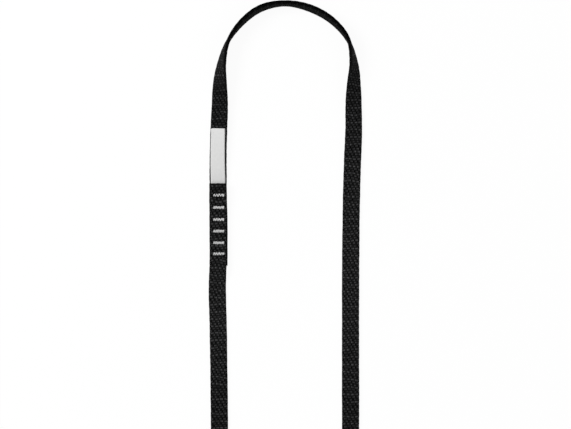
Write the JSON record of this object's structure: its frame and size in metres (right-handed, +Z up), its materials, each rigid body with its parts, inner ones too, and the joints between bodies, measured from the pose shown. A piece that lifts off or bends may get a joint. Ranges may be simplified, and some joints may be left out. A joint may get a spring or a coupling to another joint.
{
  "type": "climbing sling",
  "caption": "Sewn climbing sling: a closed loop of flat black webbing lying on a table, its ends joined by zigzag bar tacks under a folded white label, with each bight standing on edge.",
  "frame": {"origin": "on the table under the middle of the loop's box", "axes": "+X across the loop away from the spliced leg, +Y along the loop towards the label, +Z up off the table"},
  "size_m": [0.148, 0.531, 0.016],
  "materials": {
    "black_webbing": "matte black woven polyamide tape",
    "white_label": "smooth white ribbon",
    "white_thread": "bonded white sewing thread",
    "grey_thread": "bonded pale grey sewing thread"
  },
  "bodies": {
    "root": {"webbing": "black_webbing", "label": "white_label", "needle_thread_1": "white_thread", "needle_thread_2": "white_thread", "needle_thread_3": "white_thread", "needle_thread_4": "white_thread", "needle_thread_5": "white_thread", "needle_thread_6": "white_thread", "bobbin_thread_1": "grey_thread", "bobbin_thread_2": "grey_thread", "bobbin_thread_3": "grey_thread", "bobbin_thread_4": "grey_thread", "bobbin_thread_5": "grey_thread", "bobbin_thread_6": "grey_thread"}
  },
  "joints": []
}
